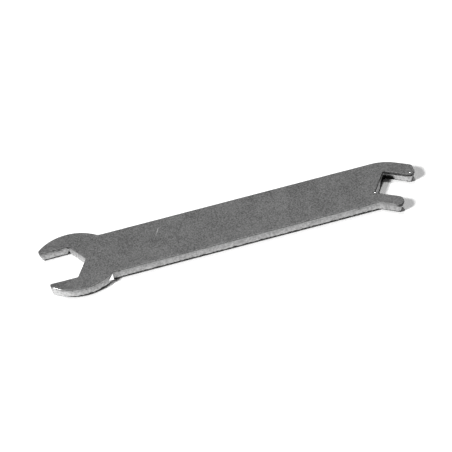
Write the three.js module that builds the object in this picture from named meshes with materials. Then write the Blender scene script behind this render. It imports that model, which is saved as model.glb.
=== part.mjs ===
// Flat wrench stamped from one piece of steel sheet: an open hexagon jaw at one end of a straight
// handle, and a slanted, square-bottomed slot for a smaller hexagon at the other.
// Millimetres, +Z up, +X along the handle from the large jaw to the small one. The underside lies
// on z = 0, and the origin is under the middle of the wrench's length, on the handle's middle line.

import * as THREE from 'three';

// Sheet
const thickness = 2.0;
const edgeRound = 0.2; // rolled edge that the stamping leaves along both faces

// Handle
const handleWidth = 10.3;

// Large jaw, placed from the middle of the nut that it holds
const largeJaw = 8.0; // across the flats
const upperTip = 3.15; // how far the jaw's tips reach past the nut's middle
const lowerTip = 2.81;
const tipWall = 0.88; // metal left beside the flat at a tip
const cheekWall = 3.3; // metal beside the flat where a cheek is widest
const upperCrown = 2.56; // how far behind the nut's middle a cheek is widest
const lowerCrown = 2.96;
const tipCorner = 0.3;
const throatCorner = 0.25;
const neckCorner = 0.15;

// Small jaw, placed from the middle of its slot's bottom
const jawSpacing = 59.15; // from the large nut's middle to the slot's bottom
const smallJaw = 5.5; // across the flats
const slotTurn = 32; // degrees that the slot turns from the handle's line
const slotCorner = 0.25;
const upperTine = 2.85; // metal beside the slot
const lowerTine = 2.4;
const upperTineReach = 6.95; // how far the tines end past the slot's bottom, along the handle
const lowerTineReach = 2.95;
const tineCorner = 1.0;
const backBend = 8.0; // where the handle's upper edge bends into the upper tine
const heelBend = 0.6; // where the lower edge bends into the lower tine

// Smoothness
const cheekSteps = 18;
const cornerSteps = 4;
const edgeSteps = 3;

const steel = new THREE.MeshStandardMaterial( { color: 0x7b7b7d, roughness: 0.45, metalness: 1.0 } );

const handleHalf = handleWidth / 2;
const jawHalf = largeJaw / 2;

// One corner of an outline; a radius of 0 keeps it sharp.
function corner( x, y, radius = 0 ) {

	return { at: new THREE.Vector2( x, y ), radius };

}

// The large jaw's inside: a tip, three corners of the hexagon, the other tip.
function throatCorners() {

	const hexSide = largeJaw / Math.sqrt( 3 );
	return [
		corner( - upperTip, jawHalf, tipCorner ),
		corner( hexSide / 2, jawHalf, throatCorner ),
		corner( hexSide, 0, throatCorner ),
		corner( hexSide / 2, - jawHalf, throatCorner ),
		corner( - lowerTip, - jawHalf, tipCorner ),
	];

}

// One cheek's outside, an arc from its tip over the crown to the handle's edge.
// side is 1 for the upper cheek and -1 for the lower one.
function cheekCorners( tipReach, crownReach, side ) {

	const run = tipReach + crownReach;
	const drop = cheekWall - tipWall;
	const radius = ( run * run + drop * drop ) / ( 2 * drop );
	const centreY = jawHalf + cheekWall - radius;
	const tipAngle = side * Math.atan2( jawHalf + tipWall - centreY, - run );
	const neckAngle = side * Math.asin( ( handleHalf - centreY ) / radius );
	const arc = new THREE.ArcCurve( crownReach, side * centreY, radius, tipAngle, neckAngle, side > 0 );
	const corners = arc.getPoints( cheekSteps ).map( ( point ) => corner( point.x, point.y ) );
	corners[ 0 ].radius = tipCorner;
	corners[ cheekSteps ].radius = neckCorner;
	return corners;

}

// The small jaw, from the bend in the lower edge round both tines to the bend in the upper edge.
// Each wall is a line along the slot at its own distance from the slot's middle line.
function smallJawCorners() {

	const turn = THREE.MathUtils.degToRad( slotTurn );
	const along = new THREE.Vector2( Math.cos( turn ), - Math.sin( turn ) );
	const across = new THREE.Vector2( Math.sin( turn ), Math.cos( turn ) );
	const slotHalf = smallJaw / 2;
	const lineAt = ( offset ) => new THREE.Vector2( jawSpacing, 0 ).addScaledVector( across, offset );
	const cutAtX = ( offset, x ) => {

		const start = lineAt( offset );
		return start.addScaledVector( along, ( x - start.x ) / along.x );

	};

	const cutAtY = ( offset, y ) => {

		const start = lineAt( offset );
		return start.addScaledVector( along, ( y - start.y ) / along.y );

	};

	const upperEnd = jawSpacing + upperTineReach;
	const lowerEnd = jawSpacing + lowerTineReach;
	return [
		{ at: cutAtY( - slotHalf - lowerTine, - handleHalf ), radius: heelBend },
		{ at: cutAtX( - slotHalf - lowerTine, lowerEnd ), radius: tineCorner },
		{ at: cutAtX( - slotHalf, lowerEnd ), radius: tineCorner },
		{ at: lineAt( - slotHalf ), radius: slotCorner },
		{ at: lineAt( slotHalf ), radius: slotCorner },
		{ at: cutAtX( slotHalf, upperEnd ), radius: tineCorner },
		{ at: cutAtX( slotHalf + upperTine, upperEnd ), radius: tineCorner },
		{ at: cutAtY( slotHalf + upperTine, handleHalf ), radius: backBend },
	];

}

// Joins corners with straight lines and rounds each one by its radius. Where two roundings would
// meet on a short line, both are made smaller to share it.
function roundedShape( corners ) {

	const count = corners.length;
	const rounds = corners.map( ( { at, radius }, i ) => {

		const back = corners[ ( i + count - 1 ) % count ].at.clone().sub( at ).normalize();
		const ahead = corners[ ( i + 1 ) % count ].at.clone().sub( at ).normalize();
		const half = Math.acos( THREE.MathUtils.clamp( back.dot( ahead ), - 1, 1 ) ) / 2;
		return { at, back, ahead, half, trim: radius / Math.tan( half ), share: 1 };

	} );

	rounds.forEach( ( round, i ) => {

		const next = rounds[ ( i + 1 ) % count ];
		const room = round.at.distanceTo( next.at ) / Math.max( round.trim + next.trim, Number.EPSILON );
		round.share = Math.min( round.share, room );
		next.share = Math.min( next.share, room );

	} );

	const shape = new THREE.Shape();
	rounds.forEach( ( { at, back, ahead, half, trim, share } ) => {

		const length = trim * share;
		if ( length === 0 ) {

			shape.lineTo( at.x, at.y );
			return;

		}

		const radius = length * Math.tan( half );
		const inward = back.clone().add( ahead ).normalize();
		const centre = at.clone().addScaledVector( inward, radius / Math.sin( half ) );
		const from = at.clone().addScaledVector( back, length ).sub( centre );
		const to = at.clone().addScaledVector( ahead, length ).sub( centre );
		shape.absarc( centre.x, centre.y, radius, from.angle(), to.angle(), from.cross( to ) < 0 );

	} );
	return shape;

}

// The blank: the outline runs anticlockwise from the upper tip, through the throat, along the lower
// edge, round the small jaw and back along the upper edge.
function wrenchBody() {

	const outline = [
		...throatCorners(),
		...cheekCorners( lowerTip, lowerCrown, - 1 ),
		...smallJawCorners(),
		...cheekCorners( upperTip, upperCrown, 1 ).reverse(),
	];
	const geometry = new THREE.ExtrudeGeometry( roundedShape( outline ), {
		depth: thickness - 2 * edgeRound,
		curveSegments: cornerSteps,
		bevelThickness: edgeRound,
		bevelSize: edgeRound,
		bevelOffset: - edgeRound,
		bevelSegments: edgeSteps,
	} );
	const mesh = new THREE.Mesh( geometry, steel );
	mesh.name = 'wrench_body';
	mesh.position.set( - ( jawSpacing + upperTineReach - upperTip ) / 2, 0, edgeRound );
	return mesh;

}

const wrench = new THREE.Group();
wrench.name = 'wrench';
wrench.add( wrenchBody() );

export default wrench;
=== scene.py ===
import math

import bmesh
import bpy
from mathutils import Matrix, Vector


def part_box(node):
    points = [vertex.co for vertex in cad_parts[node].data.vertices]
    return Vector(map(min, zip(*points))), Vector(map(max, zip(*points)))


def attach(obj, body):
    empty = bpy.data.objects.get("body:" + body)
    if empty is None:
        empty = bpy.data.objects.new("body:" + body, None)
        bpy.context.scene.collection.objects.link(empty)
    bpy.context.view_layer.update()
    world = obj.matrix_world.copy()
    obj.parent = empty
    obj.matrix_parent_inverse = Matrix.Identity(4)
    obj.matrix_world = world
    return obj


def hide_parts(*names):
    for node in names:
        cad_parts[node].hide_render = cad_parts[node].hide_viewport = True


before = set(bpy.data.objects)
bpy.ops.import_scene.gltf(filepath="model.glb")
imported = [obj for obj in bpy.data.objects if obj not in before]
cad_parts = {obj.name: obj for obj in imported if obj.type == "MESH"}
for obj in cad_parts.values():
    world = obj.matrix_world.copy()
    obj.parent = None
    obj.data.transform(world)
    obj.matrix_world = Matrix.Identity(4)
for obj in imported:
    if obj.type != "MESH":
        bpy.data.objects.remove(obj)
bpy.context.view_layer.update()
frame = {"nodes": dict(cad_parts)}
mm = 0.001
mathNode, vectorNode = "ShaderNodeMath", "ShaderNodeVectorMath"
rampNode, mixNode = "ShaderNodeMapRange", "ShaderNodeMix"
print("frame loaded:", ", ".join(frame["nodes"]))


def toLinear(hexColour):
    channels = [int(hexColour[i:i + 2], 16) / 255 for i in (1, 3, 5)]
    linear = [c / 12.92 if c <= 0.04045 else ((c + 0.055) / 1.055) ** 2.4 for c in channels]
    return (*linear, 1.0)


def addNode(tree, kind, inputs=None, **settings):
    node = tree.nodes.new(kind)
    for name, value in settings.items():
        setattr(node, name, value)
    for name, value in (inputs or {}).items():
        if isinstance(value, bpy.types.NodeSocket):
            tree.links.new(value, node.inputs[name])
        else:
            node.inputs[name].default_value = value
    return node


def nearness(distance, run):  # 1 at no distance, falling to 0 at the run's end
    return min(1, max(0, 1 - distance / run))


def between(start, end, share):
    return start + (end - start) * share


def aimed(azimuth, elevation):  # the direction at these degrees from the front and from the floor
    azimuth, elevation = math.radians(azimuth), math.radians(elevation)
    level = math.cos(elevation)
    return Vector((math.sin(azimuth) * level, -math.cos(azimuth) * level, math.sin(elevation)))


# The blank's outline, in millimetres, placed from the middle of the nut in the large jaw
blank = {
    "thickness": 2.0,
    "handleWidth": 10.3,
    "largeJaw": 8.0,  # across flats
    "upperTip": 3.15,  # how far the tips reach past the nut's middle
    "lowerTip": 2.81,
    "tipWall": 0.88,  # metal beside the flat at a tip
    "cheekWall": 3.3,  # metal beside the flat where a cheek is widest
    "upperCrown": 2.56,  # how far behind the nut's middle a cheek is widest
    "lowerCrown": 2.96,
    "tipCorner": 0.3,
    "throatCorner": 0.25,
    "neckCorner": 0.15,
    "jawSpacing": 59.15,  # from the nut's middle to the slot's bottom
    "smallJaw": 5.5,  # across flats
    "slotTurn": 32,  # degrees
    "slotCorner": 0.25,
    "upperTine": 2.85,  # metal beside the slot
    "lowerTine": 2.4,
    "upperTineReach": 6.95,
    "lowerTineReach": 2.95,
    "tineCorner": 1.0,
    "backBend": 8.0,
    "heelBend": 0.6,
    "arcStep": 9,  # degrees between points on a rounded corner
    "lineStep": 0.4,  # longest run between points
    "wallNear": 0.3,  # a point this near to a wall's line counts as on it
    "jawNear": 0.2,  # and inside the large jaw
    "tineParting": -2.0,  # the upper tine lies above this y, and the lower one below it
}


def throatCorners():
    half = blank["largeJaw"] / 2
    side = blank["largeJaw"] / math.sqrt(3)
    tip, throat = blank["tipCorner"], blank["throatCorner"]
    return [
        (Vector((-blank["upperTip"], half)), tip),
        (Vector((side / 2, half)), throat),
        (Vector((side, 0)), throat),
        (Vector((side / 2, -half)), throat),
        (Vector((-blank["lowerTip"], -half)), tip),
    ]


def upperThroat():  # the corner between the large jaw's upper flat and its throat
    return throatCorners()[1][0]


def cheekCorners(tipReach, crownReach, side):  # an arc from the tip over the crown to the handle
    half = blank["largeJaw"] / 2
    run = tipReach + crownReach
    drop = blank["cheekWall"] - blank["tipWall"]
    radius = (run ** 2 + drop ** 2) / (2 * drop)
    centreY = half + blank["cheekWall"] - radius
    start = math.atan2(half + blank["tipWall"] - centreY, -run)
    end = math.asin((blank["handleWidth"] / 2 - centreY) / radius)
    count = math.ceil(radius * (start - end) / blank["lineStep"])
    corners = []
    for step in range(count + 1):
        angle = start + (end - start) * step / count
        x = crownReach + radius * math.cos(angle)
        y = centreY + radius * math.sin(angle)
        rounding = {0: blank["tipCorner"], count: blank["neckCorner"]}.get(step, 0)
        corners.append((Vector((x, side * y)), rounding))
    return corners


def lowerNeck():  # the corner between the lower cheek and the handle
    return cheekCorners(blank["lowerTip"], blank["lowerCrown"], -1)[-1][0]


def slotLines():  # the middle of the slot's bottom, and the directions along and across the slot
    turn = math.radians(blank["slotTurn"])
    along = Vector((math.cos(turn), -math.sin(turn)))
    across = Vector((math.sin(turn), math.cos(turn)))
    return Vector((blank["jawSpacing"], 0)), along, across


def slotPlace(point):  # distances from the slot's bottom and from its middle line
    bottom, along, across = slotLines()
    return (point - bottom).dot(along), (point - bottom).dot(across)


def onSlotBottom(point):
    depth, side = slotPlace(point)
    return abs(depth) < blank["wallNear"] and abs(side) < blank["smallJaw"] / 2


def smallJawCorners():
    bottom, along, across = slotLines()
    slotHalf = blank["smallJaw"] / 2
    handleHalf = blank["handleWidth"] / 2
    lowerOut = -slotHalf - blank["lowerTine"]
    upperOut = slotHalf + blank["upperTine"]
    lowerEnd = blank["jawSpacing"] + blank["lowerTineReach"]
    upperEnd = blank["jawSpacing"] + blank["upperTineReach"]

    def wallAt(offset, axis, value):  # where a wall along the slot reaches that x or y
        start = bottom + across * offset
        return start + along * ((value - start[axis]) / along[axis])

    return [
        (wallAt(lowerOut, 1, -handleHalf), blank["heelBend"]),
        (wallAt(lowerOut, 0, lowerEnd), blank["tineCorner"]),
        (wallAt(-slotHalf, 0, lowerEnd), blank["tineCorner"]),
        (bottom - across * slotHalf, blank["slotCorner"]),
        (bottom + across * slotHalf, blank["slotCorner"]),
        (wallAt(slotHalf, 0, upperEnd), blank["tineCorner"]),
        (wallAt(upperOut, 0, upperEnd), blank["tineCorner"]),
        (wallAt(upperOut, 1, handleHalf), blank["backBend"]),
    ]


def roundedOutline(corners):
    points = []
    for i, (at, radius) in enumerate(corners):
        if radius == 0:
            points.append(at)
            continue
        back = (corners[i - 1][0] - at).normalized()
        ahead = (corners[(i + 1) % len(corners)][0] - at).normalized()
        half = math.acos(back.dot(ahead)) / 2
        trim = radius / math.tan(half)
        centre = at + (back + ahead).normalized() * (radius / math.sin(half))
        start = at + back * trim - centre
        end = at + ahead * trim - centre
        sweep = math.atan2(start.cross(end), start.dot(end))
        count = max(2, math.ceil(math.degrees(abs(sweep)) / blank["arcStep"]))
        points += [centre + Matrix.Rotation(sweep * step / count, 2) @ start for step in range(count + 1)]
    return points


def evenRuns(points):
    spaced = []
    for i, point in enumerate(points):
        ahead = points[(i + 1) % len(points)]
        count = max(1, math.ceil((ahead - point).length / blank["lineStep"]))
        spaced += [point.lerp(ahead, step / count) for step in range(count)]
    return spaced


def inwardAt(points, i):  # mitred, so that a whole ring moves in by one distance
    ahead = (points[(i + 1) % len(points)] - points[i]).normalized()
    back = (points[i] - points[i - 1]).normalized()
    mean = (ahead + back).normalized()
    return Vector((-mean.y, mean.x)) / mean.dot(ahead)


# Rolled edges that stamping and tumbling leave, in millimetres
rolledEdge = {
    "upperRounding": 0.24,
    "lowerRoll": 0.45,
    "rollReach": 0.9,  # how far the lower roll runs in under the blank
    "edgeWander": 0.4,  # share of the upper rounding that comes and goes along the edge
    "wanderLength": 1.1,
    "roundSteps": 6,
    "levelBand": 1.1,  # the flat faces start this many roundings inside the outline
    "mergeDistance": 0.0005,  # joins the flat faces to the edge
    "wallSteps": 5,
    "upperPull": 0.75,  # how far the underside draws back at the large jaw's tips
    "lowerPull": 0.3,
    "tinePull": 0.95,  # and at the tines' ends
    "pullLength": 1.6,  # how far behind a tip that starts
    "pullCurve": 1.8,  # how it grows towards the tip
    "pullPower": 1.8,  # and down the wall
    "tipRoll": 0.29,  # share of the lower roll that a narrow jaw tip has room for
    "tipRoom": 0.5,
    "tineRise": 3.0,  # the lower roll is this much higher at the tines' ends, and reaches less far
    "tineReach": 0.3,
    "tineRun": 3.0,
    "tipEdge": 0.5,  # share of the upper rounding at the lower jaw tip
    "tipEdgeRun": 3.0,
    "slotEdge": 0.4,  # and at the slot's bottom, which has less of a lower roll too
    "slotRoll": 0.25,
}


def downRounding(share):  # the height at this share of the upper rounding's depth, in metres
    return (blank["thickness"] - rolledEdge["upperRounding"] * share) * mm


def behindTips(point):  # distances behind the large jaw's tip and the tine's end on that side
    jawTip = -blank["upperTip"] if point.y > 0 else -blank["lowerTip"]
    tineReach = blank["upperTineReach"] if point.y > blank["tineParting"] else blank["lowerTineReach"]
    return point.x - jawTip, blank["jawSpacing"] + tineReach - point.x


def tipPull(point):  # the nearest tip's x, and how far the underside draws back there
    fromTip, fromTine = behindTips(point)
    if fromTip < fromTine:
        return point.x - fromTip, rolledEdge["upperPull"] if point.y > 0 else rolledEdge["lowerPull"]
    return point.x + fromTine, -rolledEdge["tinePull"]


def rollShares(point):  # of the upper rounding's width, the lower roll's reach and its height
    fromTip, fromTine = behindTips(point)
    start, end = rolledEdge["tipRoom"], rolledEdge["pullLength"]
    reach = between(1, rolledEdge["tipRoll"], nearness(fromTip - start, end - start))
    reach += (rolledEdge["tineReach"] - 1) * nearness(fromTine, rolledEdge["tineRun"])
    rise = between(1, rolledEdge["tineRise"], nearness(fromTine, rolledEdge["pullLength"]))
    nearTip = nearness(fromTip, rolledEdge["tipEdgeRun"]) if point.y < 0 else 0
    upper = between(1, rolledEdge["tipEdge"], nearTip)
    if onSlotBottom(point):
        upper = rolledEdge["slotEdge"]
        reach *= rolledEdge["slotRoll"]
        rise *= rolledEdge["slotRoll"]
    return upper, reach, rise


# Painted shade in corners and on the lower roll, painted shine on walls and rims, and burrs that stamping
# leaves, in millimetres
paintedLightAndBurrs = {
    "cornerShadeRun": 1.7,  # painted shade in the slot's inner corner
    "cornerShadeFade": 0.7,
    "cornerShade": 1.8,
    "throatRun": 0.24,  # and in the throat's upper corner
    "throatShade": 1.0,
    "cornerShadeStart": 1.7,  # none above this height, and full below the next
    "cornerShadeHeight": 0.3,
    "cornerShadeContrast": (0.1, 0.4),
    "rollFacing": (0.25, -0.97),  # the lower roll is painted dark as contact shade on this side of the wrench
    "rollStart": 0.55,
    "rollFull": 0.9,
    "rollHeight": 0.56,
    "rollFade": 0.1,
    "jawShare": 0.75,  # of that height, inside the large jaw
    "clearFacing": 0.9,  # none on the slot's bottom, which faces along the slot
    "tineRoll": 0.5,  # and at least this height on the small jaw's front walls
    "tineRollStart": 1.5,
    "tineRollFacing": (-0.6, 0.3),  # those face further right and further to the front than this
    "slotShine": 0.17,  # shares of painted highlight on the small jaw's upper wall, the throat and the lower tip, walls turned to the left lamp
    "slotShineStart": 1.7,
    "throatShine": 0.1,
    "flatShine": 0.08,  # and a painted reflection on a patch of the large jaw's upper flat beside the throat
    "flatRun": 0.9,
    "flatNear": 0.1,
    "tipShine": 0.42,
    "tipShineStart": 0.5,
    "tipShineRun": 5.0,
    "shineContrast": (0.3, 0.7),
    "shinePatches": (0.5, 1.5),  # the painted shine comes and goes between these shares of itself
    "rimTop": (0.005, 0.05),  # shares of the upper rounding's depth where the rim with a painted glint starts
    "rimShine": (0.18, 0.25),  # and the painted shine that brightens and smooths it
    # burrs are drawn near white, a painted highlight on real burrs that also catch the lamp
    "burrShine": 2,
    "neckBurr": (  # a torn corner at the lower neck: steps along x and y from the neck, and heights
        (-0.1, -0.2, 1.8), (-0.05, -0.55, 0.65), (-1.0, -1.0, 1.2), (0, 0.1, 0.1), (-0.3, 0.3, 0.8)),
    "nickFacing": (-0.45, -0.52, 0.73),  # small burrs with one side turned to the lamp
    "nickRoot": 2,  # how many sizes deep they stand in the metal
    "slotNick": 0.035,  # at the slot's lower inner corner
    "slotNickSide": 0.25,
    "tineNick": 0.022,  # near the upper tine's end
    "tineNickBack": 0.95,
    "tineNickSide": 0.3,
}


# Painted shade in the slot's inner corner and the throat's upper corner, where shade falls
def paintedCornerShadeShare(point):
    if (point - upperThroat()).length < paintedLightAndBurrs["throatRun"]:
        return paintedLightAndBurrs["throatShade"]
    bottom, along, across = slotLines()
    fromCorner = (point - bottom - across * blank["smallJaw"] / 2).length
    return paintedLightAndBurrs["cornerShade"] * nearness(fromCorner - paintedLightAndBurrs["cornerShadeRun"], paintedLightAndBurrs["cornerShadeFade"])


# A torn line runs below the rounding where the blank broke away from the die. Each share says how much
# of the edge it darkens: none below 0.4, about half at 0.6, all of it from 0.8.
tornEdge = {
    "height": 1.66,  # millimetres
    "half": 0.13,
    "lineEdge": (1.4, 0.6),  # the line fades between these shares of its half
    "wander": 0.5,
    "oxide": 0.78,  # how dark the rounding above the line is
    "oxideTop": (0.04, 0.2),  # and the shares of the rounding's depth where that starts
    "spots": 0.65,  # share of small spots among the patches
    "cover": (1.0, 1.2),
    "everywhere": 0.42,
    "slotWall": 0.74,
    "slotBottom": 0.72,
    "jawFlat": 0.54,
    "jawCorner": 0.68,
    "cornerRun": 0.3,
    "cheek": 0.62,  # the lower cheek, from a little behind its bright tip
    "tipRun": 1.5,
    "cheekRun": 3.5,
    "cheekRest": 0.5,
    "neck": 0.5,
    "neckRun": 1.5,
    "heel": 0.56,
    "heelRun": 6.0,
    "tineWall": 0.46,  # the lower tine's front wall
    "tineEnd": 0.88,
    "tineRun": 2.0,
}


def tornShare(point):
    depth, side = slotPlace(point)
    slotHalf, jawHalf = blank["smallJaw"] / 2, blank["largeJaw"] / 2
    fromTip, fromTine = behindTips(point)
    fromNeck = point.x - lowerNeck().x
    besideJaw = point.y < -jawHalf - blank["wallNear"]
    if abs(side - slotHalf) < blank["tineCorner"] and depth > 0:
        return tornEdge["slotWall"]
    if onSlotBottom(point):
        return tornEdge["slotBottom"]
    if side < -slotHalf - blank["lowerTine"] + blank["tineCorner"] and depth > 0:
        return between(tornEdge["tineWall"], tornEdge["tineEnd"], nearness(fromTine, tornEdge["tineRun"]))
    if (point - upperThroat()).length < tornEdge["cornerRun"]:
        return tornEdge["jawCorner"]
    if abs(point.y - jawHalf) < blank["wallNear"] and point.x < jawHalf:
        return tornEdge["jawFlat"]
    if besideJaw and abs(fromNeck) < tornEdge["neckRun"]:
        return tornEdge["neck"]
    if besideJaw and fromNeck < 0 and fromTip <= tornEdge["tipRun"]:
        return 0
    if besideJaw and fromNeck < 0:
        return between(tornEdge["cheekRest"], tornEdge["cheek"], nearness(fromTip, tornEdge["cheekRun"]))
    if point.y < -jawHalf and abs(point.x - blank["jawSpacing"]) < tornEdge["heelRun"]:
        return tornEdge["heel"]
    return tornEdge["everywhere"]


def paintedShineShare(point):  # painted highlights on walls turned to the left lamp, and a painted reflection on the upper flat
    depth, side = slotPlace(point)
    jawHalf = blank["largeJaw"] / 2
    hexSide = blank["largeJaw"] / math.sqrt(3)
    if abs(side - blank["smallJaw"] / 2) < blank["wallNear"] and depth > paintedLightAndBurrs["slotShineStart"]:
        return paintedLightAndBurrs["slotShine"]
    offThroat = abs(hexSide - point.x - point.y / math.sqrt(3))
    if point.y > 0 and point.x < hexSide and offThroat < blank["jawNear"]:
        return paintedLightAndBurrs["throatShine"] * (1 - point.y / blank["largeJaw"])
    fromCorner = (point - upperThroat()).length
    if abs(point.y - jawHalf) < paintedLightAndBurrs["flatNear"] and fromCorner < paintedLightAndBurrs["flatRun"]:
        return paintedLightAndBurrs["flatShine"]
    if point.y < -jawHalf - blank["wallNear"]:
        fromTip = behindTips(point)[0]
        rise = min(1, fromTip / paintedLightAndBurrs["tipShineStart"])
        return paintedLightAndBurrs["tipShine"] * rise * nearness(fromTip, paintedLightAndBurrs["tipShineRun"])
    return 0


# How high the painted contact shade reaches up the lower roll at this point
def paintedRollShadeHeight(points, i):
    x, y = points[i]
    outward = -inwardAt(points, i).normalized()
    if outward.dot(slotLines()[1]) > paintedLightAndBurrs["clearFacing"]:
        return 0
    start, full = paintedLightAndBurrs["rollStart"], paintedLightAndBurrs["rollFull"]
    facing = outward.dot(Vector(paintedLightAndBurrs["rollFacing"]))
    height = paintedLightAndBurrs["rollHeight"] * nearness(full - facing, full - start)
    if abs(y) < blank["largeJaw"] / 2 + blank["jawNear"] and x < blank["largeJaw"]:
        height *= paintedLightAndBurrs["jawShare"]
    leastX, mostY = paintedLightAndBurrs["tineRollFacing"]
    if x > blank["jawSpacing"] - paintedLightAndBurrs["tineRollStart"] and outward.x > leastX and outward.y < mostY:
        height = max(height, paintedLightAndBurrs["tineRoll"])
    return height


def neckBurr():  # its first side is flat and turned to the front
    neck = lowerNeck()
    corners = [Vector((neck.x + x, neck.y + y, z)) for x, y, z in paintedLightAndBurrs["neckBurr"]]
    return corners, ((0, 2, 1), (0, 1, 3), (1, 2, 3), (0, 4, 2), (0, 3, 4), (2, 4, 3))


def brightNicks():
    bottom, along, across = slotLines()
    slotEnd = bottom - across * blank["smallJaw"] / 2
    tineX = blank["jawSpacing"] + blank["upperTineReach"] - paintedLightAndBurrs["tineNickBack"]
    places = {
        "slotNick": slotEnd - Vector((0, paintedLightAndBurrs["slotNickSide"])),
        "tineNick": Vector((tineX, paintedLightAndBurrs["tineNickSide"])),
    }
    facing = Vector(paintedLightAndBurrs["nickFacing"]).normalized()
    level = facing.cross(Vector((0, 0, 1))).normalized()
    slope = level.cross(facing)
    nicks = []
    for name, place in places.items():
        size = paintedLightAndBurrs[name]
        at = Vector((*place, blank["thickness"]))
        root = at - facing * size * paintedLightAndBurrs["nickRoot"]
        corners = [at + level * size, at - level * size, at + slope * size, root]
        nicks.append((corners, ((0, 1, 2), (0, 3, 1), (1, 3, 2), (2, 3, 0))))
    return nicks


def edgeRings():  # each ring's zone, and its shares of that zone's move in and move up or down
    steps, walls = rolledEdge["roundSteps"], rolledEdge["wallSteps"]
    quarter = [math.pi / 2 * step / steps for step in range(steps + 1)]
    upper = [("upper", rolledEdge["levelBand"], 0)]
    upper += [("upper", 1 - math.sin(angle), 1 - math.cos(angle)) for angle in quarter]
    wall = [("wall", 0, step / walls) for step in range(1, walls)]
    lower = [("lower", 1 - math.cos(angle), 1 - math.sin(angle)) for angle in quarter]
    return upper + wall + lower + [("lower", rolledEdge["levelBand"], 0)]


def blankSizes():  # the named inputs of the blank's node tree
    return {
        "Thickness": blank["thickness"] * mm,
        "Upper Rounding": rolledEdge["upperRounding"] * mm,
        "Lower Roll": rolledEdge["lowerRoll"] * mm,
        "Roll Reach": rolledEdge["rollReach"] * mm,
        "Edge Wander": rolledEdge["edgeWander"],
        "Wander Length": rolledEdge["wanderLength"] * mm,
        "Pull Length": rolledEdge["pullLength"] * mm,
    }


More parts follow.
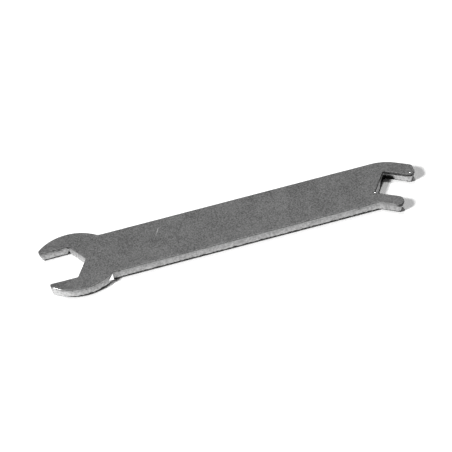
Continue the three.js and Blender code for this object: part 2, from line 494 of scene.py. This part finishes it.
def rolledBlankTree():
    tree = bpy.data.node_groups.new("rolledBlank", "GeometryNodeTree")
    tree.interface.new_socket("Outline", in_out="INPUT", socket_type="NodeSocketGeometry")
    for name in blankSizes():
        tree.interface.new_socket(name, in_out="INPUT", socket_type="NodeSocketFloat")
    tree.interface.new_socket("Steel", in_out="INPUT", socket_type="NodeSocketMaterial")
    tree.interface.new_socket("Blank", in_out="OUTPUT", socket_type="NodeSocketGeometry")
    given = addNode(tree, "NodeGroupInput").outputs

    # The outline keeps its own place, because every ring is worked out from it
    here = addNode(tree, "GeometryNodeInputPosition").outputs[0]
    mesh = addNode(
        tree, "GeometryNodeStoreNamedAttribute",
        {"Geometry": given["Outline"], "Name": "outline", "Value": here}, data_type="FLOAT_VECTOR").outputs[0]
    outline, inward, tip, rolls = [
        addNode(tree, "GeometryNodeInputNamedAttribute", {"Name": name}, data_type="FLOAT_VECTOR").outputs[0]
        for name in ("outline", "inward", "tip", "rolls")
    ]
    shares = addNode(tree, "ShaderNodeSeparateXYZ", {"Vector": rolls}).outputs
    tipPlace = addNode(tree, "ShaderNodeSeparateXYZ", {"Vector": tip}).outputs

    # Tumbling wears the upper edge more in some places than in others
    waves = addNode(tree, mathNode, {0: 1.0, 1: given["Wander Length"]}, operation="DIVIDE").outputs[0]
    noise = addNode(tree, "ShaderNodeTexNoise", {"Vector": outline, "Scale": waves, "Detail": 1.0}).outputs[0]
    spared = addNode(tree, mathNode, {0: noise, 1: given["Edge Wander"]}, operation="MULTIPLY").outputs[0]
    worn = addNode(tree, mathNode, {0: 1.0, 1: spared}, operation="SUBTRACT").outputs[0]
    width = addNode(tree, mathNode, {0: worn, 1: given["Upper Rounding"]}, operation="MULTIPLY").outputs[0]
    width = addNode(tree, mathNode, {0: width, 1: shares["X"]}, operation="MULTIPLY").outputs[0]

    # A zone's full move: inwards along the mitre, and up or down
    reach, rolled = [
        addNode(tree, mathNode, {0: share, 1: given[size]}, operation="MULTIPLY").outputs[0]
        for share, size in ((shares["Y"], "Roll Reach"), (shares["Z"], "Lower Roll"))
    ]
    down = addNode(tree, mathNode, {0: given["Upper Rounding"], 1: -1.0}, operation="MULTIPLY").outputs[0]
    shoulder = addNode(tree, mathNode, {0: given["Thickness"], 1: down}).outputs[0]
    fall = addNode(tree, mathNode, {0: rolled, 1: shoulder}, operation="SUBTRACT").outputs[0]
    zones = {
        "upper": (width, down, given["Thickness"]),
        "wall": (0.0, fall, shoulder),
        "lower": (reach, rolled, 0.0),
    }
    moves, starts = {}, {}
    for zone, (inset, rise, start) in zones.items():
        flat = addNode(tree, vectorNode, {0: inward, "Scale": inset}, operation="SCALE").outputs[0]
        lift = addNode(tree, "ShaderNodeCombineXYZ", {"Z": rise}).outputs[0]
        moves[zone] = addNode(tree, vectorNode, {0: flat, 1: lift}).outputs[0]
        raised = addNode(tree, "ShaderNodeCombineXYZ", {"Z": start}).outputs[0]
        starts[zone] = addNode(tree, vectorNode, {0: outline, 1: raised}).outputs[0]
    thick = addNode(tree, "ShaderNodeCombineXYZ", {"Z": given["Thickness"]}).outputs[0]

    # Each ring is the last one extruded and moved, and near a tip it is drawn back more the deeper it lies
    top = rolledEdge["upperRounding"] / blank["thickness"]
    foot = 1 - rolledEdge["lowerRoll"] / blank["thickness"]
    depths = {"upper": (0, top), "wall": (top, foot), "lower": (1, foot)}
    rings, lastRing, faces = edgeRings(), True, []
    for number, (zone, inset, rise) in enumerate(rings):
        drawn = between(*depths[zone], rise) ** (rolledEdge["pullPower"] / rolledEdge["pullCurve"])
        place = addNode(
            tree, vectorNode, {0: moves[zone], 1: (inset, inset, rise), 2: starts[zone]},
            operation="MULTIPLY_ADD").outputs[0]
        placeX = addNode(tree, "ShaderNodeSeparateXYZ", {"Vector": place}).outputs["X"]
        run = addNode(tree, mathNode, {0: placeX, 1: tipPlace["X"]}, operation="SUBTRACT").outputs[0]
        run = addNode(tree, mathNode, {0: run}, operation="ABSOLUTE").outputs[0]
        nearTip = addNode(
            tree, rampNode,
            {"Value": run, "From Max": given["Pull Length"], "To Min": drawn, "To Max": 0.0}).outputs[0]
        nearTip = addNode(
            tree, mathNode, {0: nearTip, 1: rolledEdge["pullCurve"]}, operation="POWER").outputs[0]
        back = addNode(tree, mathNode, {0: nearTip, 1: tipPlace["Y"]}, operation="MULTIPLY").outputs[0]
        back = addNode(tree, "ShaderNodeCombineXYZ", {"X": back}).outputs[0]
        place = addNode(tree, vectorNode, {0: place, 1: back}).outputs[0]
        if number > 0:
            extruded = addNode(
                tree, "GeometryNodeExtrudeMesh", {"Mesh": mesh, "Selection": lastRing, "Offset Scale": 0.0},
                mode="EDGES").outputs
            mesh, lastRing = extruded["Mesh"], extruded["Top"]
        mesh = addNode(
            tree, "GeometryNodeSetPosition",
            {"Geometry": mesh, "Selection": lastRing, "Position": place}).outputs[0]
        if number in (0, len(rings) - 1):  # the first and last rings bound the flat faces
            curve = addNode(tree, "GeometryNodeMeshToCurve", {"Mesh": mesh, "Selection": lastRing}).outputs[0]
            face = addNode(tree, "GeometryNodeFillCurve", {"Curve": curve}, mode="TRIANGLES").outputs[0]
            level = thick if number == 0 else (0, 0, 0)
            faces.append(
                addNode(tree, "GeometryNodeSetPosition", {"Geometry": face, "Offset": level}).outputs[0])
    joined = addNode(tree, "GeometryNodeJoinGeometry")
    for part in (mesh, *faces):
        tree.links.new(part, joined.inputs[0])
    merged = addNode(
        tree, "GeometryNodeMergeByDistance",
        {"Geometry": joined.outputs[0], "Distance": rolledEdge["mergeDistance"] * mm}).outputs[0]
    realised = addNode(tree, "GeometryNodeRealizeInstances", {"Geometry": merged}).outputs[0]
    coated = addNode(
        tree, "GeometryNodeSetMaterial", {"Geometry": realised, "Material": given["Steel"]}).outputs[0]
    addNode(tree, "NodeGroupOutput", {"Blank": coated})
    return tree


def outlineMesh(points, nutX):  # carries what the node tree and the finish need to know at each point
    count = len(points)
    mesh = bpy.data.meshes.new("wrenchOutline")
    places = [(nutX + point.x * mm, point.y * mm, 0) for point in points]
    mesh.from_pydata(places, [(i, (i + 1) % count) for i in range(count)], [])
    vectors = {
        "inward": [(*inwardAt(points, i), 0) for i in range(count)],
        "tip": [(nutX + x * mm, pull * mm, 0) for x, pull in map(tipPull, points)],
        "rolls": [rollShares(point) for point in points],
    }
    for name, values in vectors.items():
        layer = mesh.attributes.new(name, "FLOAT_VECTOR", "POINT")
        layer.data.foreach_set("vector", [part for value in values for part in value])
    shares = {
        "oxideAndPaintedShade": [paintedCornerShadeShare(point) for point in points],
        "torn": [tornShare(point) for point in points],
        "paintedRollShadeHeight": [paintedRollShadeHeight(points, i) * mm for i in range(count)],
        "wearAndPaintedShine": [paintedShineShare(point) for point in points],
    }
    for name, values in shares.items():
        layer = mesh.attributes.new(name, "FLOAT", "POINT")
        layer.data.foreach_set("value", values)
    return mesh


def buildWrench(steel):
    corners = [
        *throatCorners(),
        *cheekCorners(blank["lowerTip"], blank["lowerCrown"], -1),
        *smallJawCorners(),
        *reversed(cheekCorners(blank["upperTip"], blank["upperCrown"], 1)),
    ]
    points = evenRuns(roundedOutline(corners))
    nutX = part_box("wrench_body")[0].x + blank["upperTip"] * mm
    wrench = bpy.data.objects.new("wrenchBody", outlineMesh(points, nutX))
    bpy.context.scene.collection.objects.link(wrench)

    tree = rolledBlankTree()
    modifier = wrench.modifiers.new("rolledBlank", "NODES")
    modifier.node_group = tree
    sockets = {item.name: item.identifier for item in tree.interface.items_tree if item.in_out == "INPUT"}
    for name, value in {**blankSizes(), "Steel": steel}.items():
        modifier[sockets[name]] = value
    graph = bpy.context.evaluated_depsgraph_get()
    made = bpy.data.meshes.new_from_object(wrench.evaluated_get(graph), depsgraph=graph)
    made.name = "wrenchBody"
    wrench.modifiers.clear()
    wrench.data = made

    made.materials.clear()
    made.materials.append(steel)
    shell = bmesh.new()
    shell.from_mesh(made)
    for face in shell.faces:
        face.smooth = True
        face.material_index = 0
    wearAndPaintedShine = shell.verts.layers.float["wearAndPaintedShine"]
    for corners, sides in (neckBurr(), *brightNicks()):
        burr = [shell.verts.new((nutX + at.x * mm, at.y * mm, at.z * mm)) for at in corners]
        for vertex in burr:
            vertex[wearAndPaintedShine] = paintedLightAndBurrs["burrShine"]
        for side in sides:
            shell.faces.new([burr[i] for i in side])
    bmesh.ops.recalc_face_normals(shell, faces=shell.faces)
    openEdges = sum(len(edge.link_faces) != 2 for edge in shell.edges)
    shell.to_mesh(made)
    shell.free()
    for name in ("outline", "inward", "tip", "rolls"):
        made.attributes.remove(made.attributes[name])
    print("wrench:", len(points), "outline points,", len(made.polygons), "faces,", openEdges, "open edges")
    return wrench


# Cold-rolled steel sheet, stamped and tumbled: flat matte grey with a fine grain on the broad faces, rounded
# edges rubbed smooth and rough walls where the metal sheared. The faces' darker and the walls' lighter tones
# are partly their finish and partly painted shade and painted light from the surroundings each reflects, and
# the slot's corner has painted shade.
tumbledSteel = {
    # faces darker and walls lighter, partly by finish and partly as painted shade and painted light
    "faceLight": "#717171",
    "faceDark": "#464646",
    "faceContrast": (0.3, 0.7),
    "faceRoughness": 0.42,
    "edgeRoughness": 0.28,
    "edgeStops": (0.2, 0.75),  # shares of the way from face to wall that are an edge
    "wallLight": "#bababa",
    "wallDark": "#8e8e8e",
    "wallContrast": (0.3, 0.8),
    "wallFootLift": (-0.15, 0.25),  # walls are drawn darker at the top and lighter at the foot
    "wallRoughness": 0.65,
    "wallTop": (0.3, 0.9),  # shares of the upper rounding's depth where the wall starts
    "wallFoot": (0.1, 0.3),  # and of the lower roll's height where it ends
    # the dark tone of oxide, of painted corner shade and of painted contact shade on the lower roll
    "oxideAndPaintedShade": "#181818",
    "oxideAndPaintedShadeRoughness": 0.6,
    # near white for the scratch, the burrs and the painted shine
    "wearAndPaintedShine": "#f8f8f8",
    "wearAndPaintedShineRoughness": 0.15,
    "grainSize": 0.21,  # millimetres; tumbling marks are finer, and are drawn this coarse to show
    "grainDetail": 2.0,
    "grainHeight": 0.006,
    "mottleSize": 3.0,
    "mottleDetail": 3.0,
    "mottleShare": 0.25,
    "shearSize": 0.3,
    "shearLength": 0.45,
    "shearDetail": 3.0,
    "raggedSize": 0.5,
    "raggedDetail": 3.0,
    "raggedShare": 0.9,
    "patchSize": 1.3,
    "patchDetail": 4.0,
    "scratchMiddle": (-13.07, 2.2),
    "scratchTurn": 64.5,  # degrees
    "scratchLength": 2.1,
    "scratchWidth": 0.15,
    "scratchEdge": (1.0, 0.5),
    "scratchShare": 0.28,
}


def steelNoises(tree, place):
    stretch = (1, 1, tumbledSteel["shearSize"] / tumbledSteel["shearLength"])
    upright = addNode(tree, "ShaderNodeMapping", {"Vector": place, "Scale": stretch}).outputs[0]
    places = {"grain": place, "mottle": place, "shear": upright, "ragged": place, "patch": place}
    noises = {}
    for name, at in places.items():
        waves, detail = 1 / (tumbledSteel[name + "Size"] * mm), tumbledSteel[name + "Detail"]
        noises[name] = addNode(
            tree, "ShaderNodeTexNoise", {"Vector": at, "Scale": waves, "Detail": detail}).outputs[0]
    return noises


def wallShare(tree, height):  # walls are told from the broad faces by height
    start, full = map(downRounding, tumbledSteel["wallTop"])
    belowFace = addNode(tree, rampNode, {"Value": height, "From Min": start, "From Max": full}).outputs[0]
    start, full = [rolledEdge["lowerRoll"] * share * mm for share in tumbledSteel["wallFoot"]]
    aboveBack = addNode(tree, rampNode, {"Value": height, "From Min": start, "From Max": full}).outputs[0]
    return addNode(tree, mathNode, {0: belowFace, 1: aboveBack}, operation="MULTIPLY").outputs[0]


def scratchShare(tree, place):
    middleX, middleY = tumbledSteel["scratchMiddle"]
    inScratch = addNode(
        tree, "ShaderNodeMapping",
        {"Vector": place, "Location": (middleX * mm, middleY * mm, blank["thickness"] * mm),
         "Rotation": (0, 0, math.radians(tumbledSteel["scratchTurn"])),
         "Scale": (tumbledSteel["scratchLength"] / 2 * mm, tumbledSteel["scratchWidth"] / 2 * mm,
                   rolledEdge["upperRounding"] * mm)},
        vector_type="TEXTURE").outputs[0]
    outside = addNode(tree, vectorNode, {0: inScratch}, operation="LENGTH").outputs["Value"]
    start, full = tumbledSteel["scratchEdge"]
    return addNode(
        tree, rampNode,
        {"Value": outside, "From Min": start, "From Max": full,
         "To Max": tumbledSteel["scratchShare"]}).outputs[0]


def cleanColour(tree, place, height, noises, onWall):  # grain and mottle on the faces, ragged shear on walls
    top, foot = tumbledSteel["wallFootLift"]
    footLift = addNode(
        tree, rampNode,
        {"Value": height, "From Min": blank["thickness"] * mm, "From Max": 0.0,
         "To Min": top, "To Max": foot}).outputs[0]
    colours = {}
    for zone, fine, coarse, lift in (("face", "grain", "mottle", 0.0), ("wall", "shear", "ragged", footLift)):
        share = tumbledSteel[coarse + "Share"]
        shade = addNode(
            tree, mathNode, {0: noises[coarse], 1: share, 2: noises[fine]},
            operation="MULTIPLY_ADD").outputs[0]
        shade = addNode(tree, mathNode, {0: shade, 1: lift}).outputs[0]
        darkest, lightest = [limit + share / 2 for limit in tumbledSteel[zone + "Contrast"]]
        mix = addNode(tree, rampNode, {"Value": shade, "From Min": darkest, "From Max": lightest}).outputs[0]
        dark, light = toLinear(tumbledSteel[zone + "Dark"]), toLinear(tumbledSteel[zone + "Light"])
        colours[zone] = addNode(tree, mixNode, {0: mix, 6: dark, 7: light}, data_type="RGBA").outputs[2]
    scratched = addNode(
        tree, mixNode,
        {0: scratchShare(tree, place), 6: colours["face"], 7: toLinear(tumbledSteel["wearAndPaintedShine"])},
        data_type="RGBA").outputs[2]
    return addNode(
        tree, mixNode, {0: onWall, 6: scratched, 7: colours["wall"]}, data_type="RGBA").outputs[2]


def oxideAndPaintedShadeShares(tree, height, noises):
    # The oxide and the painted shade end along a ragged line, as if the height wandered up and down
    ragged, swing = noises["ragged"], tornEdge["wander"] * mm
    level = addNode(tree, mathNode, {0: ragged, 1: swing, 2: height}, operation="MULTIPLY_ADD").outputs[0]
    level = addNode(tree, mathNode, {0: level, 1: swing / 2}, operation="SUBTRACT").outputs[0]

    # Oxide darkens the torn line and the rounding above it
    torn = addNode(tree, "ShaderNodeAttribute", attribute_name="torn").outputs["Fac"]
    spots = addNode(tree, mixNode, {0: tornEdge["spots"], 2: noises["patch"], 3: ragged}).outputs[0]
    cover = addNode(tree, mathNode, {0: torn, 1: spots}).outputs[0]
    start, full = tornEdge["cover"]
    cover = addNode(tree, rampNode, {"Value": cover, "From Min": start, "From Max": full}).outputs[0]
    middle, half = tornEdge["height"] * mm, tornEdge["half"] * mm
    offLine = addNode(tree, mathNode, {0: level, 1: middle}, operation="SUBTRACT").outputs[0]
    offLine = addNode(tree, mathNode, {0: offLine}, operation="ABSOLUTE").outputs[0]
    start, full = [half * share for share in tornEdge["lineEdge"]]
    line = addNode(tree, rampNode, {"Value": offLine, "From Min": start, "From Max": full}).outputs[0]
    aboveLine = addNode(
        tree, rampNode,
        {"Value": level, "From Min": middle, "From Max": middle + half,
         "To Max": tornEdge["oxide"]}).outputs[0]
    start, full = map(downRounding, tornEdge["oxideTop"])
    belowRim = addNode(tree, rampNode, {"Value": height, "From Min": start, "From Max": full}).outputs[0]
    shoulder = addNode(tree, mathNode, {0: aboveLine, 1: belowRim}, operation="MULTIPLY").outputs[0]
    edgeDark = addNode(tree, mathNode, {0: line, 1: shoulder}, operation="MAXIMUM").outputs[0]
    tornDark = addNode(tree, mathNode, {0: cover, 1: edgeDark}, operation="MULTIPLY").outputs[0]

    # Painted shade darkens the inner corners, where shade falls
    cornerShaded = addNode(tree, "ShaderNodeAttribute", attribute_name="oxideAndPaintedShade").outputs["Fac"]
    start, full = paintedLightAndBurrs["cornerShadeStart"] * mm, paintedLightAndBurrs["cornerShadeHeight"] * mm
    low = addNode(tree, rampNode, {"Value": level, "From Min": start, "From Max": full}).outputs[0]
    for share in (ragged, low):
        cornerShaded = addNode(tree, mathNode, {0: cornerShaded, 1: share}, operation="MULTIPLY").outputs[0]
    start, full = paintedLightAndBurrs["cornerShadeContrast"]
    paintedCornerShade = addNode(tree, rampNode, {"Value": cornerShaded, "From Min": start, "From Max": full}).outputs[0]

    # Painted contact shade darkens the lower roll
    rollShadeTop = addNode(tree, "ShaderNodeAttribute", attribute_name="paintedRollShadeHeight").outputs["Fac"]
    depth = addNode(tree, mathNode, {0: rollShadeTop, 1: level}, operation="SUBTRACT").outputs[0]
    paintedRollShade = addNode(
        tree, rampNode, {"Value": depth, "From Min": 0.0, "From Max": paintedLightAndBurrs["rollFade"] * mm}).outputs[0]
    oxideAndPaintedShadeCover = addNode(tree, mathNode, {0: tornDark, 1: paintedCornerShade}, operation="MAXIMUM").outputs[0]
    return addNode(tree, mathNode, {0: oxideAndPaintedShadeCover, 1: paintedRollShade}, operation="MAXIMUM").outputs[0]


def paintedShineShares(tree, height, ragged, onWall, oxideAndPaintedShadeCover):  # how bright the painted shine is, and how much of it lies on the rim
    paintedShine = addNode(tree, "ShaderNodeAttribute", attribute_name="wearAndPaintedShine").outputs["Fac"]
    start, full = map(downRounding, paintedLightAndBurrs["rimTop"])
    belowTop = addNode(tree, rampNode, {"Value": height, "From Min": start, "From Max": full}).outputs[0]
    onRim = addNode(tree, mathNode, {0: belowTop, 1: onWall}, operation="SUBTRACT").outputs[0]
    start, full = paintedLightAndBurrs["rimShine"]
    rim = addNode(
        tree, rampNode, {"Value": paintedShine, "From Min": start, "From Max": full, "To Max": onRim}).outputs[0]

    # It shows on walls, rims and burrs, and is patchy
    start, full = paintedLightAndBurrs["burrShine"] / 2, paintedLightAndBurrs["burrShine"]
    shows = addNode(tree, rampNode, {"Value": paintedShine, "From Min": start, "From Max": full}).outputs[0]
    for share in (onWall, rim):
        shows = addNode(tree, mathNode, {0: shows, 1: share}, operation="MAXIMUM").outputs[0]
    start, full = paintedLightAndBurrs["shineContrast"]
    least, most = paintedLightAndBurrs["shinePatches"]
    patchy = addNode(
        tree, rampNode,
        {"Value": ragged, "From Min": start, "From Max": full, "To Min": least, "To Max": most}).outputs[0]
    spared = addNode(tree, mathNode, {0: 1.0, 1: oxideAndPaintedShadeCover}, operation="SUBTRACT").outputs[0]
    bright = paintedShine
    for share in (patchy, spared, shows):
        bright = addNode(tree, mathNode, {0: bright, 1: share}, operation="MULTIPLY").outputs[0]
    return bright, rim


def steelMaterial():
    steel = bpy.data.materials.new("tumbledSteelSheet")
    steel.use_nodes = True
    tree = steel.node_tree
    shader = tree.nodes["Principled BSDF"]
    shader.inputs["Metallic"].default_value = 1.0
    place = addNode(tree, "ShaderNodeTexCoord").outputs["Object"]
    height = addNode(tree, "ShaderNodeSeparateXYZ", {"Vector": place}).outputs["Z"]
    noises = steelNoises(tree, place)
    onWall = wallShare(tree, height)
    oxideAndPaintedShadeCover = oxideAndPaintedShadeShares(tree, height, noises)
    bright, rim = paintedShineShares(tree, height, noises["ragged"], onWall, oxideAndPaintedShadeCover)

    colour = cleanColour(tree, place, height, noises, onWall)
    # Oxide and painted shade are drawn dark, and painted shine, burrs and the scratch near white
    for share, cover in ((oxideAndPaintedShadeCover, "oxideAndPaintedShade"), (bright, "wearAndPaintedShine")):
        over = toLinear(tumbledSteel[cover])
        colour = addNode(tree, mixNode, {0: share, 6: colour, 7: over}, data_type="RGBA").outputs[2]
    tree.links.new(colour, shader.inputs["Base Color"])

    # Tumbling rubs the rounded edges smoother than the faces and the walls
    gloss = addNode(tree, "ShaderNodeValToRGB", {0: onWall})
    stops = gloss.color_ramp.elements
    for at in tumbledSteel["edgeStops"]:
        stops.new(at)
    for stop, zone in zip(stops, ("face", "edge", "edge", "wall")):
        level = tumbledSteel[zone + "Roughness"]
        stop.color = (level, level, level, 1)
    roughness = gloss.outputs[0]
    gleam = addNode(tree, mathNode, {0: bright, 1: rim}, operation="MAXIMUM").outputs[0]
    for share, cover in ((oxideAndPaintedShadeCover, "oxideAndPaintedShade"), (gleam, "wearAndPaintedShine")):
        over = tumbledSteel[cover + "Roughness"]
        roughness = addNode(tree, mixNode, {0: share, 2: roughness, 3: over}).outputs[0]
    tree.links.new(roughness, shader.inputs["Roughness"])

    relief = addNode(tree, mixNode, {0: onWall, 2: noises["grain"], 3: noises["shear"]}).outputs[0]
    bump = addNode(
        tree, "ShaderNodeBump", {"Height": relief, "Distance": tumbledSteel["grainHeight"] * mm}).outputs[0]
    tree.links.new(bump, shader.inputs["Normal"])
    return steel


wrench = buildWrench(steelMaterial())
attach(wrench, "root")
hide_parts("wrench_body")


# White floor and surroundings, lit by one soft lamp at the left and one high behind
studio = {
    "floorColour": "#ffffff",
    "floorSize": 6.0,  # metres
    "floorDrop": 0.03,  # millimetres under the wrench, which lies on its burrs
    "floorGain": 1.35,  # the exposure that the floor is seen at, which makes it white
    "skyLevel": 0.07,  # how strongly the surroundings light the floor, where they are seen at 1
    "lampDistance": 2.5,
    "beforeBounce": 0.5,  # a ray's diffuse depth stays below this until it has left a matt surface
}

# Angles in degrees from the front and from the floor
lamps = {
    "leftLamp": {"azimuth": -72, "elevation": 40, "watts": 61, "size": 0.6},
    "backLamp": {"azimuth": 164, "elevation": 71, "watts": 17, "size": 0.2},
}


def shownShare(tree):  # 1 for what is seen, straight or in the metal, and 0 for what lights the floor
    path = addNode(tree, "ShaderNodeLightPath").outputs
    first = addNode(
        tree, mathNode, {0: path["Diffuse Depth"], 1: studio["beforeBounce"]},
        operation="LESS_THAN").outputs[0]
    inMetal = addNode(tree, mathNode, {0: path["Is Glossy Ray"], 1: first}, operation="MULTIPLY").outputs[0]
    return addNode(tree, mathNode, {0: path["Is Camera Ray"], 1: inMetal}, operation="MAXIMUM").outputs[0]


def buildFloor():
    half = studio["floorSize"] / 2
    level = -studio["floorDrop"] * mm
    mesh = bpy.data.meshes.new("floor")
    corners = [(x * half, y * half, level) for x, y in ((-1, -1), (1, -1), (1, 1), (-1, 1))]
    mesh.from_pydata(corners, [], [(0, 1, 2, 3)])
    floor = bpy.data.objects.new("floor", mesh)
    bpy.context.scene.collection.objects.link(floor)
    paper = bpy.data.materials.new("whitePaperSweep")
    paper.use_nodes = True
    tree = paper.node_tree
    tree.nodes.clear()
    colour = Vector(toLinear(studio["floorColour"]))
    tint = addNode(
        tree, mixNode, {0: shownShare(tree), 6: colour, 7: colour * studio["floorGain"]},
        data_type="RGBA").outputs[2]
    matt = addNode(tree, "ShaderNodeBsdfDiffuse", {"Color": tint}).outputs[0]
    addNode(tree, "ShaderNodeOutputMaterial", {"Surface": matt})
    mesh.materials.append(paper)


def buildLight():
    for name, lamp in lamps.items():
        towards = aimed(lamp["azimuth"], lamp["elevation"])
        light = bpy.data.lights.new(name, "AREA")
        light.shape = "DISK"
        light.size = lamp["size"]
        light.energy = lamp["watts"]
        holder = bpy.data.objects.new(name, light)
        holder.location = towards * studio["lampDistance"]
        holder.rotation_euler = towards.to_track_quat("Z", "Y").to_euler()
        bpy.context.scene.collection.objects.link(holder)

    world = bpy.data.worlds.new("studio")
    bpy.context.scene.world = world
    world.use_nodes = True
    tree = world.node_tree
    tree.nodes.clear()
    level = addNode(tree, mixNode, {0: shownShare(tree), 2: studio["skyLevel"], 3: 1.0}).outputs[0]
    backdrop = addNode(tree, "ShaderNodeBackground", {"Color": (1, 1, 1, 1), "Strength": level}).outputs[0]
    addNode(tree, "ShaderNodeOutputWorld", {"Surface": backdrop})


# Long lens, a little left of the front and well above, with the picture tilted
camera = {
    "azimuth": -8.0377,  # degrees
    "elevation": 43.7425,
    "roll": -9.0855,
    "distance": 524.0,  # millimetres
    "lookAt": (-1.0, -0.052, 1.0),
    "lens": 232.93,
    "sensor": 36.0,
}


def buildCamera():
    azimuth = math.radians(camera["azimuth"])
    back = aimed(camera["azimuth"], camera["elevation"])
    right = Vector((math.cos(azimuth), math.sin(azimuth), 0))
    up = back.cross(right)
    turned = Matrix((right, up, back)).transposed() @ Matrix.Rotation(math.radians(camera["roll"]), 3, "Z")
    lens = bpy.data.cameras.new("camera")
    lens.lens = camera["lens"]
    lens.sensor_width = camera["sensor"]
    holder = bpy.data.objects.new("camera", lens)
    place = (Vector(camera["lookAt"]) + back * camera["distance"]) * mm
    holder.matrix_world = Matrix.Translation(place) @ turned.to_4x4()
    bpy.context.scene.collection.objects.link(holder)
    bpy.context.scene.camera = holder


buildFloor()
buildLight()
buildCamera()
bpy.context.scene.view_settings.view_transform = "Standard"
print("stage, light and camera placed")
